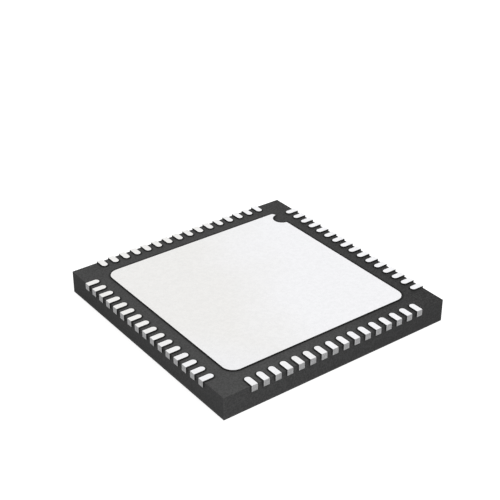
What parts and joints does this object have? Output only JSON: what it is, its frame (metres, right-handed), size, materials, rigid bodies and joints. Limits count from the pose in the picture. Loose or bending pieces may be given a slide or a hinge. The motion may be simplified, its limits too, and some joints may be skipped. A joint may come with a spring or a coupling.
{
  "type": "analog-to-digital converter chip",
  "caption": "Flat square chip package without legs, lying underside up: plated leads round the rim and a bare die pad with a pin 1 notch in black compound.",
  "frame": {"origin": "centre of the flat marking face that the chip lies on", "axes": "+Z out of the solder side, away from the marking face; +X and +Y towards the two walls that meet at the pin 1 corner. Seen from +Z the pins are numbered clockwise from that corner, first down the +X wall"},
  "size_m": [0.008, 0.008, 0.0008],
  "materials": {
    "mold_compound": "black moulding compound with a fine matte grain",
    "plated_copper": "pale matte tin plating",
    "silicon": "polished dark grey",
    "die_attach_film": "silver-filled epoxy",
    "bond_wire": "bright drawn gold wire"
  },
  "bodies": {
    "root": {"bond_wires_01_04": "bond_wire", "bond_wires_05_08": "bond_wire", "bond_wires_09_12": "bond_wire", "bond_wires_13_16": "bond_wire", "bond_wires_17_20": "bond_wire", "bond_wires_21_24": "bond_wire", "bond_wires_25_28": "bond_wire", "bond_wires_29_32": "bond_wire", "bond_wires_33_36": "bond_wire", "bond_wires_37_40": "bond_wire", "bond_wires_41_44": "bond_wire", "bond_wires_45_48": "bond_wire", "bond_wires_49_52": "bond_wire", "bond_wires_53_56": "bond_wire", "bond_wires_57_60": "bond_wire", "bond_wires_61_64": "bond_wire", "die_attach": "die_attach_film", "die_paddle": "plated_copper", "ground_wires": "bond_wire", "leads_01_04": "plated_copper", "leads_05_08": "plated_copper", "leads_09_12": "plated_copper", "leads_13_16": "plated_copper", "leads_17_20": "plated_copper", "leads_21_24": "plated_copper", "leads_25_28": "plated_copper", "leads_29_32": "plated_copper", "leads_33_36": "plated_copper", "leads_37_40": "plated_copper", "leads_41_44": "plated_copper", "leads_45_48": "plated_copper", "leads_49_52": "plated_copper", "leads_53_56": "plated_copper", "leads_57_60": "plated_copper", "leads_61_64": "plated_copper", "mold_body": "mold_compound", "silicon_die": "silicon"}
  },
  "joints": []
}
